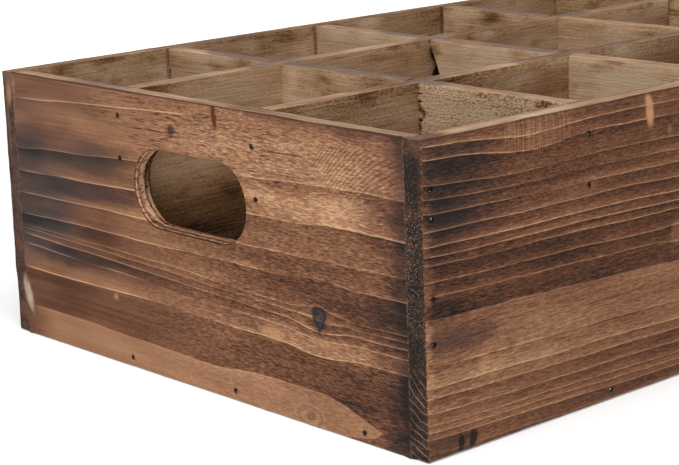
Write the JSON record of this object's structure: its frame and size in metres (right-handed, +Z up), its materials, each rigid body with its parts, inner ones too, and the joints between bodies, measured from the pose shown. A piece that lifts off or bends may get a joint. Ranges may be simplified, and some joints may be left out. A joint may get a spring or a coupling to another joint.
{
  "type": "divided wooden crate",
  "caption": "Low open wooden crate with an interlocking grid of dividers, a routed hand hole in each end and a planked base, held by brads.",
  "frame": {"origin": "on the ground, under the middle of the crate", "axes": "+X along the length towards the right end, +Y across to the far side, +Z up. The picture shows the left end (-X) and the near side (-Y)."},
  "size_m": [0.395, 0.29, 0.13],
  "materials": {
    "side_wood": "scorched and brushed softwood, satin",
    "end_wood": "lightly scorched softwood, satin",
    "divider_wood": "sawn softwood, dull, dark at the joints",
    "base_wood": "sawn softwood, dull",
    "brad_steel": "blackened steel"
  },
  "bodies": {
    "root": {"near_side_board": "side_wood", "far_side_board": "side_wood", "left_end_board": "end_wood", "right_end_board": "end_wood", "base_plank_near": "base_wood", "base_plank_middle": "base_wood", "base_plank_far": "base_wood", "long_divider_near": "divider_wood", "long_divider_far": "divider_wood", "cross_divider_1": "divider_wood", "cross_divider_2": "divider_wood", "cross_divider_3": "divider_wood", "near_left_corner_brads": "brad_steel", "near_right_corner_brads": "brad_steel", "far_left_corner_brads": "brad_steel", "far_right_corner_brads": "brad_steel", "left_end_divider_brads": "brad_steel", "right_end_divider_brads": "brad_steel", "near_side_divider_brads": "brad_steel", "far_side_divider_brads": "brad_steel", "left_end_base_brads": "brad_steel", "right_end_base_brads": "brad_steel", "near_side_base_brads": "brad_steel", "far_side_base_brads": "brad_steel"}
  },
  "joints": []
}
